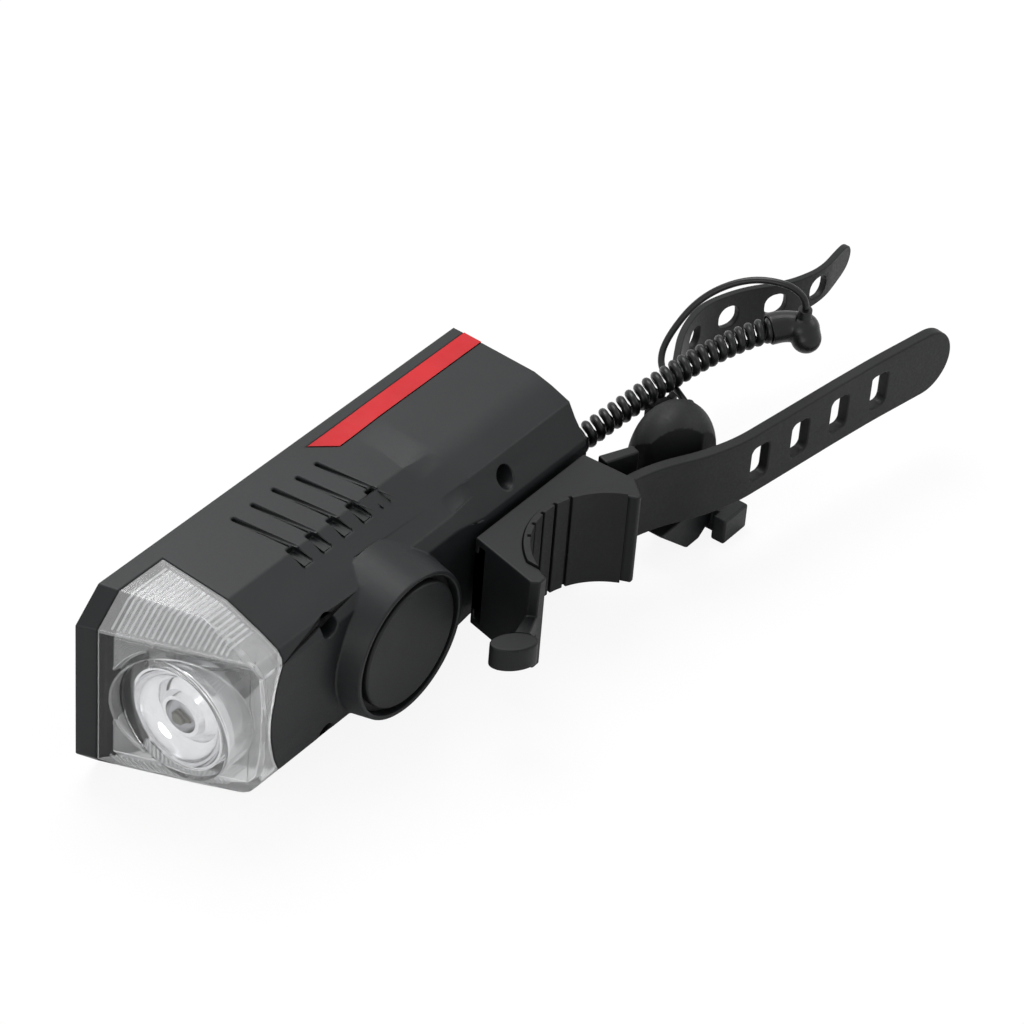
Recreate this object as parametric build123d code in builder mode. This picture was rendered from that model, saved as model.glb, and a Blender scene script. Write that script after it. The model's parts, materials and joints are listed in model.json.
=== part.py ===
from build123d import *
import math
import os

os.makedirs("parts", exist_ok=True)

# Frame of the model
# The light lies on its left flank, the beam points along -Y and the clamp side faces +X.
# Places below are counted from the solar edge (X), the lens edge (Y) and the mid plane (Z).
datum_x = -31.32  # solar edge of the housing
datum_y = -105.7  # front of the housing
flank_half = 21.4  # half width of the housing at its solar edge
datum_z = flank_half
overrun = 4.0  # how far a cut runs past the material

# Housing
body_length = 110.0
body_depth = 33.5
shell_wall = 2.0
end_wall = 2.0
front_section_shares = [
    (0.0, 1.0),
    (0.570, 0.932),
    (0.690, 0.860),
    (0.824, 0.780),
    (0.928, 0.701),
    (0.982, 0.584),
    (1.0, 0.28),
]
rear_section_shares = [
    (0.0, 1.0),
    (0.594, 0.967),
    (0.720, 0.915),
    (0.854, 0.836),
    (0.905, 0.690),
    (0.988, 0.505),
    (1.0, 0.45),
]
step_start = 70.0  # the underside narrows to the rail platform from here
step_length = 8.0
front_slope = 0.405  # rise of the front face along Y for each mm of depth
front_half = 15.4  # half height of the flat front face
chamfer_run = 6.2  # length of the flank chamfer along Y
front_end = 20.0  # end of the slanted front part
strip_depth = 3.9  # opaque strip between the solar edge and the lens

# Lens
lens_wall = 1.8
lens_rear = 19.5  # rear edge of the lens on the flanks
tongue_half = 13.4  # half width of the housing's tongue on the underside
tongue_front = 15.4  # foremost point of the tongue
collar_x = 19.0  # beam axis
collar_radius = 12.6
collar_front = 5.4  # plane of the round window
window_wall = 1.4
gasket_length = body_depth - strip_depth - lens_wall * 2 - 1.6
gasket_height = (flank_half - lens_wall - 6.8) * 2
gasket_corner = 4.0
gasket_width = 1.2
gasket_depth = 0.8

# Light engine
rim_radius = 10.15
reflector_wall = 0.5
rim_gap = 0.2
bowl_depth = 3.2
bowl_radius = 6.8
bowl_bulge_shares = (0.66, 0.62)  # how far the bowl swells between its floor and its rim
throat_collar = 5.0
throat_rise = 2.2
throat_radius = 3.5
reflector_depth = 6.0
led_side = 3.0
led_height = 1.2
led_board_radius = 9.0
led_board_depth = 1.2
sink_radius = 8.6
fin_width = 1.0
fin_pitch = 3.2
fin_count = 5

# Solar panel
panel_start = 29.0
panel_end = 101.0
panel_half = flank_half - 2.4
panel_proud = 1.2
panel_depth = 1.6  # depth of the rebate in the housing
panel_border = 3.0
window_depth = 1.6
glass_recess = 0.2
cell_thickness = 0.4
cell_count = 6
cell_gap = 0.8
fit_gap = 0.1  # clearance between fixed pieces
running_gap = 0.3  # clearance between moving pieces

# Battery and boards
battery_start = 36.4
battery_length = 46.6
battery_half = panel_half - 3.5
battery_depth = 9.0
board_x = 16.5
board_depth = 1.6
board_half = flank_half - 6.4
board_start = 26.0
board_end = body_length - 2.2

# Charging socket and flap, on the rear face
socket_width = 9.0
socket_height = 3.4
socket_depth = 7.0
socket_wall = 0.5
tongue_depth = 5.0
tongue_height = 0.8
flap_length = 8.6
flap_width = 13.0
flap_thickness = 1.6
flap_gap = 0.15
flap_knuckle = 0.9

# Mode button, on the solar side near the front
button_y = 25.1
button_radius = 2.8
button_proud = 0.7
button_travel = 0.6
button_flange = 0.7
shelf_half = 4.5
shelf_thickness = 1.5
switch_side = 5.0
switch_depth = 2.4

# Horn
horn_y = 50.05
horn_face = body_depth + 4.7
horn_radius = 15.35
horn_base_radius = 17.6
horn_bore = 14.4
horn_disc_radius = 13.0
horn_groove = 2.0
horn_flange = 1.5
sounder_radius = 12.4
sounder_depth = 2.2
horn_gasket_width = 1.6
horn_gasket_depth = 0.8
horn_throat = 11.4
horn_foot_share = 0.8  # depth of the housing at which the horn's boss starts

# Screws
screw_places = [(32.4, 12.8), (87.0, 14.0)]
screw_radius = 1.1
screw_head_radius = 2.0
screw_head_depth = 1.3
screw_seat = body_depth - 7.3
screw_length = 17.2
screw_recess = 0.6
screw_slot = 0.6
screw_cross_share = 1.2
post_radius = 3.0

# Rail lugs and clamp bracket
bracket_half = 10.5
bracket_inner = body_depth + 1.6
lug_first = 77.0
lug_pitch = 7.0
lug_count = 4
lug_length = 3.0
stem_half = 6.5
head_half = 8.5
head_depth = 1.2
stem_top = body_depth + 2.7
slot_gap = 0.35
lip_play = 0.2
bar_radius = 16.0
bar_x = body_depth + 23.3
bar_y = 87.4
pad_thickness = 1.4
pad_reach = 14.2  # half chord of the pad along Y
pad_half = 11.0
pad_gap = 0.05
pad_groove_width = 0.7
pad_groove_depth = 0.5
pad_groove_turns = (-30.0, -17.0, -4.0, 9.0, 22.0)
bracket_nose = (bracket_inner, 72.6)
bracket_lip = (bar_x - 6.2, 69.0)
bracket_lip_end = (bar_x - 4.6, 70.0)
bracket_tail_lip = (bar_x - 5.6, 103.4)
bracket_tail = (bar_x - 9.8, 107.0)
bracket_heel = (bracket_inner, 106.5)
hook_x = bar_x - 3.4
hook_y = 61.2
hook_length = 9.2
hook_thickness = 5.2
hook_turn = 50.0
hook_half = 2.6
neck_outline = [
    (bar_x - 7.2, 71.0),
    (bar_x - 4.6, 70.0),
    (bar_x - 1.6, 62.0),
    (bar_x - 4.6, 61.0),
]
neck_half = 2.2
bar_gap = 0.05

# Release latch behind the bracket
latch_half = 5.0
latch_front = 104.5
latch_rear = 109.4
latch_inner = body_depth + 1.9
latch_outer = body_depth + 5.9
latch_travel = 1.8
tooth_half = 4.0
tooth_depth = 1.1
tooth_front = 104.8
tooth_tip_length = 0.8
tab_half = 9.5
tab_outline = [
    (body_depth + 3.3, 109.0),
    (latch_outer, 108.2),
    (body_depth + 8.7, 115.4),
    (body_depth + 6.5, 116.2),
]

# Ladder strap
strap_width = 15.0
strap_thickness = 2.5
strap_route = [
    (bar_x - 13.1, 103.6),
    (bar_x - 12.6, 110.5),
    (bar_x - 10.2, 118.0),
    (bar_x - 6.4, 125.0),
    (bar_x - 3.5, 133.5),
    (bar_x - 1.8, 146.0),
    (bar_x, 160.0),
    (bar_x + 2.0, 174.0),
    (bar_x + 4.5, 188.0),
]
strap_hole_length = 5.0
strap_hole_width = 8.0
strap_hole_corner = 1.25
strap_hole_pitch = 11.8
strap_hole_first = 14.0  # distance of the last hole from the end of the straight edge
strap_hole_count = 4
strap_root_gap = 0.15

# Curly cord
gland_radius = 3.4
gland_neck = 2.4
gland_flange = 1.2
gland_length = 3.0
wire_radius = 0.77
coil_radius = 1.85
coil_turns = 23
cord_x = 24.5
coil_route = [
    (24.5, 113.0, 0.0),
    (26.8, 121.5, 2.9),
    (29.8, 129.6, 6.5),
    (33.2, 140.5, 10.3),
    (36.9, 150.0, 12.8),
    (40.4, 156.9, 14.2),
    (43.1, 160.9, 14.8),
    (45.7, 162.8, 15.0),
]
coil_end_tangent = (1.0, 0.45, 0.0)
ramp_share = 0.075  # share of the length in which the coil opens to its full radius
turn_share = 0.075  # share of the length in which the turns reach their pitch
end_share = 0.028  # share of the length that runs straight at each end
stations_per_turn = 4
samples_per_turn = 32
tangent_step_share = 0.00025
boot_radius = 3.4
boot_collar = 3.2
boot_bore = 2.76
boot_stub = 1.4
boot_shares = (0.903, 0.95, 1.0)  # stations of the boot's sleeve along the coil's axis
boot_centre = (47.1, 163.2, 15.0)
boot_end = (48.3, 162.8, 13.6)
boot_end_radius = 3.1

# Lead to the remote button
lead_radius = 0.7
lead_route = [
    (47.3, 162.9, 20.2),
    (47.4, 162.75, 22.8),
    (43.4, 161.3, 25.5),
    (35.6, 158.1, 24.6),
    (28.8, 152.6, 19.6),
    (26.2, 146.0, 11.8),
    (27.6, 142.2, 8.0),
    (32.2, 140.6, 6.4),
    (38.6, 136.6, 6.9),
]

# Remote button
remote_outline = [(35.2, 119.8), (41.5, 119.8), (47.6, 129.0), (47.6, 136.5), (35.2, 136.5)]
remote_low = -12.5
remote_high = 4.2
remote_corner = 2.0
remote_wall = 1.2
dome_sizes = (8.0, 10.2, 11.6)  # half axes of the ellipsoid that shapes the dome
dome_foot = 1.0  # height of the ellipsoid's centre
sleeve_length = 4.0
sleeve_radius = 1.4
key_x = 41.4
key_z = -2.2
key_radius = 4.4
key_flange_radius = 4.9
key_flange = 1.0
key_proud = 2.2
key_crown = 1.6
key_travel = 1.0
remote_switch_side = 6.0
remote_switch_depth = 2.4
remote_board_depth = 1.2
lug_outline = [(31.0, 133.0), (36.4, 133.0), (36.4, 138.2), (31.0, 138.2)]
lug_low = -6.6
lug_high = 5.0

# Foot and hook below the remote button
foot_inner = 38.0
foot_outer = 46.4
foot_profile = [(119.8, -12.5), (130.0, -21.4), (134.0, -21.4), (141.0, -16.5), (141.0, -12.5)]
hook_outline = [
    (43.0, 137.6),
    (48.0, 137.6),
    (48.0, 135.6),
    (51.2, 135.6),
    (51.2, 143.6),
    (46.8, 143.6),
    (43.0, 140.6),
]
hook_low = -21.4
hook_high = -15.6

# Remote strap
remote_strap_width = 11.6
remote_strap_thickness = 1.5
remote_strap_z = -0.8
remote_strap_route = [
    (33.2, 138.2),
    (33.2, 139.9),
    (27.8, 148.0),
    (22.2, 158.0),
    (19.9, 168.0),
    (22.6, 178.5),
    (28.2, 188.0),
    (30.2, 198.0),
    (28.7, 206.6),
]
remote_strap_edge = [(138.0, 6.0), (168.0, 5.8), (184.0, 5.1), (196.0, 4.2), (206.0, 3.6), (210.8, 1.8)]
remote_strap_tip = 211.4
remote_hole_length = 5.0
remote_hole_width = 5.2
remote_hole_corner = 2.2
remote_hole_pitch = 11.4
remote_hole_first = 10.2
remote_hole_count = 6

# Flank details
groove_starts = [(6.0, 36.7), (6.0, 42.2), (6.0, 48.2), (7.0, 53.9), (7.0, 59.5)]
groove_lean = 3.1
groove_reach = 18.0
groove_width = 1.0
groove_depth = 1.1
notch_x = 20.6
notch_lag = 1.4  # distance of a notch behind the start of its groove
notch_length = 5.0
notch_width = 2.4
notch_level = 18.5
stripe_inner = 2.6
stripe_outer = 6.8
stripe_start = 62.0
stripe_slant = 4.5
stripe_depth = 0.3
flank_slope = (1.0 - front_section_shares[1][1]) * flank_half / (front_section_shares[1][0] * body_depth)


def across(y):
    """Plane across the beam: local X is the depth, local Y is the height."""
    return Plane(origin=(datum_x, datum_y + y, datum_z), x_dir=(1, 0, 0), z_dir=(0, -1, 0))


def level(z):
    """Plane parallel to the flanks: local X is the depth, local Y runs to the rear."""
    return Plane(origin=(datum_x, datum_y, datum_z + z), x_dir=(1, 0, 0), z_dir=(0, 0, 1))


def side(x):
    """Plane parallel to the solar panel: local X runs to the rear, local Y is the height."""
    return Plane(origin=(datum_x + x, datum_y, datum_z), x_dir=(0, 1, 0), z_dir=(1, 0, 0))


def place(x, y, z):
    """Point counted from the datum edges."""
    return Vector(datum_x + x, datum_y + y, datum_z + z)


def section_points(shares):
    """Closed outline of a housing section, mirrored about the mid plane."""
    upper = [(depth * body_depth, height * flank_half) for depth, height in shares]
    lower = [(x, -z) for x, z in reversed(upper)]
    return upper + lower


def section_sketch(y, shares, inset):
    """Face of the housing section at y, drawn in by an inset."""
    with BuildSketch(across(y)) as section:
        with BuildLine():
            Polyline(*section_points(shares), close=True)
        make_face()
        if inset > 0:
            offset(amount=-inset, kind=Kind.INTERSECTION)
    return section.sketch


def housing_form(inset, start, end):
    """Solid of the housing's outer form, drawn in by an inset on the long sides."""
    step_end = step_start + step_length
    with BuildPart() as form:
        extrude(section_sketch(step_start, front_section_shares, inset), amount=step_start - start)
        loft(
            [
                section_sketch(step_start, front_section_shares, inset),
                section_sketch(step_end, rear_section_shares, inset),
            ],
            ruled=True,
        )
        extrude(section_sketch(end, rear_section_shares, inset), amount=end - step_end)
    return form.part


def front_form(inset, end):
    """Solid of the front end with its slanted face and flank chamfers."""
    reach = body_depth + overrun
    slant = inset / math.cos(math.atan(front_slope))
    with BuildPart() as form:
        extrude(section_sketch(end, front_section_shares, inset), amount=end + overrun)
        with BuildSketch(level(-flank_half - overrun)):
            with BuildLine():
                Polyline(
                    (-overrun, -overrun * 2),
                    (reach, -overrun * 2),
                    (reach, reach * front_slope + slant),
                    (-overrun, slant - overrun * front_slope),
                    close=True,
                )
            make_face()
        extrude(amount=(flank_half + overrun) * 2, mode=Mode.SUBTRACT)
        rise = flank_half - front_half
        for sign in (1, -1):
            with BuildSketch(side(-overrun)):
                with BuildLine():
                    shift = slant - overrun * front_slope
                    Polyline(
                        (shift - chamfer_run, sign * (front_half - rise - inset)),
                        (shift + chamfer_run * 2, sign * (flank_half + rise - inset)),
                        (shift - chamfer_run, sign * (flank_half + rise)),
                        close=True,
                    )
                make_face()
            extrude(amount=reach + overrun, dir=(1, front_slope, 0), mode=Mode.SUBTRACT)
    return form.part


def lens_envelope():
    """Space of the lens: in front of its rear edge, with the tongue's arc in the underside."""
    tall = flank_half + overrun
    with BuildPart() as envelope:
        with BuildSketch(side(strip_depth)):
            with BuildLine():
                Polyline(
                    (lens_rear, -tongue_half),
                    (lens_rear, -tall),
                    (-overrun, -tall),
                    (-overrun, tall),
                    (lens_rear, tall),
                    (lens_rear, tongue_half),
                )
                ThreePointArc((lens_rear, tongue_half), (tongue_front, 0), (lens_rear, -tongue_half))
            make_face()
        extrude(amount=body_depth + overrun)
    return envelope.part


def tube_path(points, run_share=0.45):
    """Straight runs joined by the largest tangent arcs that both runs allow."""
    spots = [place(*point) for point in points]
    radii = []
    for before, here, after in zip(spots, spots[1:], spots[2:]):
        run_in, run_out = here - before, after - here
        turn = math.radians(run_in.get_angle(run_out))
        shorter = min(run_in.length, run_out.length)
        radii.append(run_share * shorter / math.tan(turn / 2))
    return spots, radii


def strap_solid(route, height, width, thickness, holes):
    """Strap along a level route, with a round tip and a row of holes counted from the tip."""
    hole_first, hole_pitch, hole_count, hole_length, hole_width, hole_corner = holes
    spots, radii = tube_path([(x, y, height) for x, y in route])
    with BuildPart() as strap:
        with BuildLine() as path:
            FilletPolyline(*spots, radius=radii)
        wire = path.wire()
        start = Plane(origin=wire @ 0, x_dir=(0, 0, 1), z_dir=wire % 0)
        with BuildSketch(start):
            Rectangle(width, thickness)
        sweep(path=wire)
        along = wire % 1
        outward = along.cross(Vector(0, 0, 1))
        tip = Plane(origin=(wire @ 1) - outward * thickness / 2, x_dir=along, z_dir=outward)
        with BuildSketch(tip):
            Circle(width / 2)
            with Locations((-width / 2, 0)):
                Rectangle(width, width, mode=Mode.SUBTRACT)
        extrude(amount=thickness)
        for index in range(hole_count):
            share = 1 - (hole_first + index * hole_pitch) / wire.length
            tangent = wire % share
            normal = tangent.cross(Vector(0, 0, 1))
            with BuildSketch(Plane(origin=wire @ share, x_dir=tangent, z_dir=normal)):
                RectangleRounded(hole_length, hole_width, hole_corner)
            extrude(amount=thickness * 2, both=True, mode=Mode.SUBTRACT)
    return strap.part


def screw_posts():
    """Posts inside the housing, from the board to the outer skin."""
    with BuildPart() as posts:
        with BuildSketch(side(board_x + board_depth)):
            for post_y, post_z in screw_places:
                with Locations((post_y, post_z), (post_y, -post_z)):
                    Circle(post_radius)
        extrude(amount=body_depth)
        add(housing_form(0, front_end, body_length), mode=Mode.INTERSECT)
    return posts.part


def stripe_solid(sign):
    """Thin coloured inlay that follows the flank at its solar edge."""
    with BuildPart() as stripe:
        with BuildSketch(level(0)):
            with BuildLine():
                Polyline(
                    (stripe_inner, stripe_start),
                    (stripe_outer, stripe_start + stripe_slant),
                    (stripe_outer, body_length),
                    (stripe_inner, body_length),
                    close=True,
                )
            make_face()
        extrude(amount=sign * flank_half)
        add(housing_form(0, front_end, body_length), mode=Mode.INTERSECT)
        add(housing_form(stripe_depth, front_end, body_length + overrun), mode=Mode.SUBTRACT)
    return stripe.part


def lens_cavity():
    """Hollow of the lens, with the space behind the round window."""
    window_back = collar_front + window_wall
    with BuildPart() as cavity:
        add(front_form(lens_wall, front_end))
        with BuildSketch(side(-overrun)):
            Rectangle(front_end * 4, flank_half * 4)
        extrude(amount=strip_depth + lens_wall + overrun, mode=Mode.SUBTRACT)
        with BuildSketch(across(window_back)):
            with Locations((collar_x, 0)):
                Circle(collar_radius + lens_wall)
        extrude(amount=window_back + overrun, mode=Mode.SUBTRACT)
        with BuildSketch(across(front_end)):
            with Locations((collar_x, 0)):
                Circle(collar_radius - lens_wall)
        extrude(amount=front_end - window_back)
    return cavity.part


# Places that follow from the sizes above
sounder_seat = horn_face - horn_groove - horn_flange - horn_gasket_depth - sounder_depth
shelf_x = shell_wall + button_flange + button_travel + fit_gap + switch_depth
window_back = collar_front + window_wall
rim_y = window_back + rim_gap
led_board_y = rim_y + reflector_depth
sink_y = led_board_y + led_board_depth
sink_depth = lens_rear - sink_y
panel_middle = (panel_start + panel_end) / 2
cell_x = window_depth - panel_proud - cell_thickness
window_half = panel_half - panel_border
window_length = panel_end - panel_start - panel_border * 2
socket_x = board_x - socket_height / 2
slide_travel = lug_pitch / 2 - fit_gap
lip_face = stem_top - slot_gap / 2


def tooth_points(gap, top):
    """Outline of the latch tooth, grown by a gap; its rear side follows the ramp."""
    tip = body_depth - tooth_depth - gap
    ramp = slide_travel / latch_travel
    front = tooth_front - gap
    rear = tooth_front + tooth_tip_length + gap
    return [(tip, front), (tip, rear), (top, rear + (top - tip) * ramp), (top, front)]


# Main housing: tub, boss for the horn, rail lugs and screw posts
with BuildPart() as main_housing:
    add(housing_form(0, front_end, body_length))
    add(front_form(0, front_end))
    add(lens_envelope(), mode=Mode.SUBTRACT)
    with BuildSketch(side(strip_depth)):
        Rectangle(lens_rear * 2, (flank_half + overrun) * 2)
    extrude(amount=body_depth - shell_wall - strip_depth, mode=Mode.SUBTRACT)
    add(housing_form(shell_wall, lens_rear + end_wall, body_length - end_wall), mode=Mode.SUBTRACT)
    with BuildSketch(side(0)):
        with Locations((panel_middle, 0)):
            Rectangle(panel_end - panel_start + fit_gap * 2, (panel_half + fit_gap) * 2)
    extrude(amount=panel_depth, mode=Mode.SUBTRACT)
    with BuildSketch(side(0)):
        with Locations((panel_middle, 0)):
            Rectangle(window_length, window_half * 2)
        for post_y, post_z in screw_places:
            with Locations((post_y, post_z), (post_y, -post_z)):
                Circle(post_radius + fit_gap)
    extrude(amount=shell_wall + overrun, mode=Mode.SUBTRACT)
    # Horn boss, hollow towards the inside
    with BuildSketch(side(body_depth * horn_foot_share)):
        with Locations((horn_y, 0)):
            Circle(horn_base_radius)
    with BuildSketch(side(horn_face)):
        with Locations((horn_y, 0)):
            Circle(horn_radius)
    loft()
    with BuildSketch(side(horn_face)):
        with Locations((horn_y, 0)):
            Circle(horn_bore)
    extrude(amount=-(horn_groove + horn_flange), mode=Mode.SUBTRACT)
    with BuildSketch(side(sounder_seat + sounder_depth + horn_gasket_depth)):
        with Locations((horn_y, 0)):
            Circle(horn_disc_radius)
    extrude(amount=-(sounder_depth + horn_gasket_depth), mode=Mode.SUBTRACT)
    with BuildSketch(side(sounder_seat)):
        with Locations((horn_y, 0)):
            Circle(horn_throat)
    extrude(amount=-(sounder_seat - body_depth * horn_foot_share + overrun), mode=Mode.SUBTRACT)
    # Screw posts with their holes
    add(screw_posts())
    for post_y, post_z in screw_places:
        with BuildSketch(side(board_x)):
            with Locations((post_y, post_z), (post_y, -post_z)):
                Circle(screw_radius + fit_gap)
        extrude(amount=body_depth, mode=Mode.SUBTRACT)
        with BuildSketch(side(screw_seat)):
            with Locations((post_y, post_z), (post_y, -post_z)):
                Circle(screw_head_radius + fit_gap)
        extrude(amount=body_depth, mode=Mode.SUBTRACT)
    # Rail lugs for the bracket
    for lug_index in range(lug_count):
        with BuildSketch(across(lug_first + lug_index * lug_pitch + lug_length)):
            with Locations(((body_depth - shell_wall + stem_top) / 2, 0)):
                Rectangle(stem_top - body_depth + shell_wall, stem_half * 2)
            with Locations((stem_top + head_depth / 2, 0)):
                Rectangle(head_depth, head_half * 2)
        extrude(amount=lug_length)
    # Notch for the latch tooth, with a ramp that lifts it
    with BuildSketch(level(-tooth_half - running_gap)):
        with BuildLine():
            Polyline(*tooth_points(running_gap, body_depth + overrun), close=True)
        make_face()
    extrude(amount=(tooth_half + running_gap) * 2, mode=Mode.SUBTRACT)
    # Shelf for the mode switch, on the bulkhead
    with BuildSketch(across(button_y + switch_side / 2)):
        with Locations((shelf_x + shelf_thickness / 2, 0)):
            Rectangle(shelf_thickness, shelf_half * 2)
    extrude(amount=button_y + switch_side / 2 - lens_rear - end_wall / 2)
    # Holes for the cord gland, the charging socket and the mode button
    with BuildSketch(across(body_length)):
        with Locations((cord_x, 0)):
            Circle(gland_neck + fit_gap)
        with Locations((socket_x, 0)):
            Rectangle(socket_height + fit_gap * 2, socket_width + fit_gap * 2)
    extrude(amount=end_wall + overrun, mode=Mode.SUBTRACT)
    with BuildSketch(side(-overrun)):
        with Locations((button_y, 0)):
            Circle(button_radius + running_gap)
    extrude(amount=overrun + shell_wall, mode=Mode.SUBTRACT)
    add(stripe_solid(1), mode=Mode.SUBTRACT)
    add(stripe_solid(-1), mode=Mode.SUBTRACT)
    # Finger grooves on both flanks, cut level into the bevel
    groove_turn = math.degrees(math.atan2(groove_lean, groove_reach))
    for start_x, start_y in groove_starts:
        for sign in (1, -1):
            depth_end = flank_half - flank_slope * start_x - groove_depth
            with BuildSketch(level(sign * depth_end)):
                with Locations((start_x + groove_reach / 2, start_y + groove_lean / 2)):
                    SlotCenterToCenter(groove_reach, groove_width, rotation=groove_turn)
            extrude(amount=sign * overrun, mode=Mode.SUBTRACT)
            with BuildSketch(level(sign * notch_level)):
                with Locations((notch_x, start_y + notch_lag)):
                    RectangleRounded(notch_length, notch_width, groove_width / 2)
            extrude(amount=sign * overrun, mode=Mode.SUBTRACT)
main_housing.part.label = "main_housing"
export_step(main_housing.part, "parts/main_housing.step")
print("main_housing", round(main_housing.part.volume), len(main_housing.part.solids()))

# Front lens: clear shell with a round window in a collar
with BuildPart() as front_lens:
    add(front_form(0, front_end))
    with BuildSketch(across(front_end)):
        with Locations((collar_x, 0)):
            Circle(collar_radius)
    extrude(amount=front_end - collar_front)
    with BuildSketch(across(collar_front)):
        with Locations((collar_x, 0)):
            Circle(collar_radius)
    extrude(amount=collar_front + overrun, mode=Mode.SUBTRACT)
    add(lens_envelope(), mode=Mode.INTERSECT)
    add(lens_cavity(), mode=Mode.SUBTRACT)
front_lens.part.label = "front_lens"
export_step(front_lens.part, "parts/front_lens.step")

# Soft ring between the lens and the bulkhead
with BuildPart() as lens_gasket:
    with BuildSketch(across(lens_rear)):
        with Locations(((strip_depth + lens_wall + body_depth - lens_wall) / 2, 0)):
            RectangleRounded(gasket_length, gasket_height, gasket_corner)
            RectangleRounded(
                gasket_length - gasket_width * 2,
                gasket_height - gasket_width * 2,
                gasket_corner - gasket_width / 2,
                mode=Mode.SUBTRACT,
            )
    extrude(amount=gasket_depth)
lens_gasket.part.label = "lens_gasket"
export_step(lens_gasket.part, "parts/lens_gasket.step")

# Reflector: bright bowl round a raised throat
with BuildPart() as reflector:
    with BuildSketch(level(0)):
        with BuildLine():
            bowl_floor = rim_y + bowl_depth
            throat_top = bowl_floor - throat_rise
            bulge_radius = bowl_radius + (rim_radius - bowl_radius) * bowl_bulge_shares[0]
            Polyline(
                (collar_x + rim_radius, rim_y),
                (collar_x + rim_radius + reflector_wall, rim_y),
                (collar_x + rim_radius + reflector_wall, rim_y + bowl_depth / 2),
                (collar_x + bowl_radius + reflector_wall, bowl_floor + reflector_wall),
                (collar_x + throat_collar, bowl_floor + reflector_wall),
                (collar_x + throat_collar, led_board_y),
                (collar_x + throat_radius, led_board_y),
                (collar_x + throat_radius, throat_top),
                (collar_x + (throat_radius + throat_collar) / 2, throat_top),
                (collar_x + throat_collar, throat_top + throat_rise / 2),
                (collar_x + bowl_radius, bowl_floor),
            )
            ThreePointArc(
                (collar_x + bowl_radius, bowl_floor),
                (collar_x + bulge_radius, rim_y + bowl_depth * bowl_bulge_shares[1]),
                (collar_x + rim_radius, rim_y),
            )
        make_face()
    revolve(axis=Axis(place(collar_x, 0, 0), (0, 1, 0)))
reflector.part.label = "reflector"
export_step(reflector.part, "parts/reflector.step")

# Emitter with its dome
with BuildPart() as led_emitter:
    with BuildSketch(across(led_board_y)):
        with Locations((collar_x, 0)):
            Rectangle(led_side, led_side)
    extrude(amount=led_height / 2)
    with BuildSketch(across(led_board_y)):
        with Locations((collar_x, 0)):
            Circle(led_side / 2 - fit_gap)
    extrude(amount=led_height)
    fillet(edges().group_by(Axis.Y)[0], led_height / 3)
led_emitter.part.label = "led_emitter"
export_step(led_emitter.part, "parts/led_emitter.step")

# Round metal board of the emitter
with BuildPart() as led_board:
    with BuildSketch(across(sink_y)):
        with Locations((collar_x, 0)):
            Circle(led_board_radius)
    extrude(amount=led_board_depth)
led_board.part.label = "led_board"
export_step(led_board.part, "parts/led_board.step")

# Heat sink with straight fins that stand on the bulkhead
with BuildPart() as heat_sink:
    with BuildSketch(across(sink_y + fin_width)):
        with Locations((collar_x, 0)):
            Circle(sink_radius)
    extrude(amount=fin_width)
    with BuildSketch(across(lens_rear)):
        with Locations((collar_x, 0)):
            with GridLocations(fin_pitch, 0, fin_count, 1):
                Rectangle(fin_width, sink_radius * 2)
            Circle(sink_radius, mode=Mode.INTERSECT)
    extrude(amount=sink_depth - fin_width)
heat_sink.part.label = "heat_sink"
export_step(heat_sink.part, "parts/heat_sink.step")

# Frame of the solar panel, with the posts that take the screws
with BuildPart() as solar_frame:
    with BuildSketch(side(-panel_proud)):
        with Locations((panel_middle, 0)):
            Rectangle(panel_end - panel_start, panel_half * 2)
    extrude(amount=panel_proud + panel_depth)
    with BuildSketch(side(-panel_proud)):
        with Locations((panel_middle, 0)):
            Rectangle(window_length, window_half * 2)
    extrude(amount=window_depth, mode=Mode.SUBTRACT)
    with BuildSketch(side(panel_depth - fit_gap)):
        for post_y, post_z in screw_places:
            with Locations((post_y, post_z), (post_y, -post_z)):
                Circle(post_radius)
    extrude(amount=board_x - panel_depth + fit_gap)
    with BuildSketch(side(screw_seat - screw_length - fit_gap)):
        for post_y, post_z in screw_places:
            with Locations((post_y, post_z), (post_y, -post_z)):
                Circle(screw_radius + fit_gap)
    extrude(amount=screw_length, mode=Mode.SUBTRACT)
solar_frame.part.label = "solar_frame"
export_step(solar_frame.part, "parts/solar_frame.step")

# Row of cells under the glass
with BuildPart() as solar_cells:
    cell_length = (window_length - cell_gap * (cell_count + 1)) / cell_count
    with BuildSketch(side(cell_x)):
        with Locations((panel_middle, 0)):
            with GridLocations(cell_length + cell_gap, 0, cell_count, 1):
                Rectangle(cell_length, (window_half - cell_gap) * 2)
    extrude(amount=cell_thickness)
solar_cells.part.label = "solar_cells"
export_step(solar_cells.part, "parts/solar_cells.step")

# Clear cover of the panel
with BuildPart() as solar_glass:
    with BuildSketch(side(glass_recess - panel_proud)):
        with Locations((panel_middle, 0)):
            Rectangle(window_length - fit_gap * 2, (window_half - fit_gap) * 2)
    extrude(amount=cell_x - glass_recess + panel_proud)
solar_glass.part.label = "solar_glass"
export_step(solar_glass.part, "parts/solar_glass.step")

# Coloured inlays of both flanks
upper_stripe = stripe_solid(1)
upper_stripe.label = "upper_stripe"
export_step(upper_stripe, "parts/upper_stripe.step")
lower_stripe = stripe_solid(-1)
lower_stripe.label = "lower_stripe"
export_step(lower_stripe, "parts/lower_stripe.step")

# Flat battery cell on the floor of the panel frame
with BuildPart() as battery:
    with BuildSketch(side(panel_depth)):
        with Locations((battery_start + battery_length / 2, 0)):
            RectangleRounded(battery_length, battery_half * 2, battery_depth / 4)
    extrude(amount=battery_depth)
battery.part.label = "battery"
export_step(battery.part, "parts/battery.step")

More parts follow.
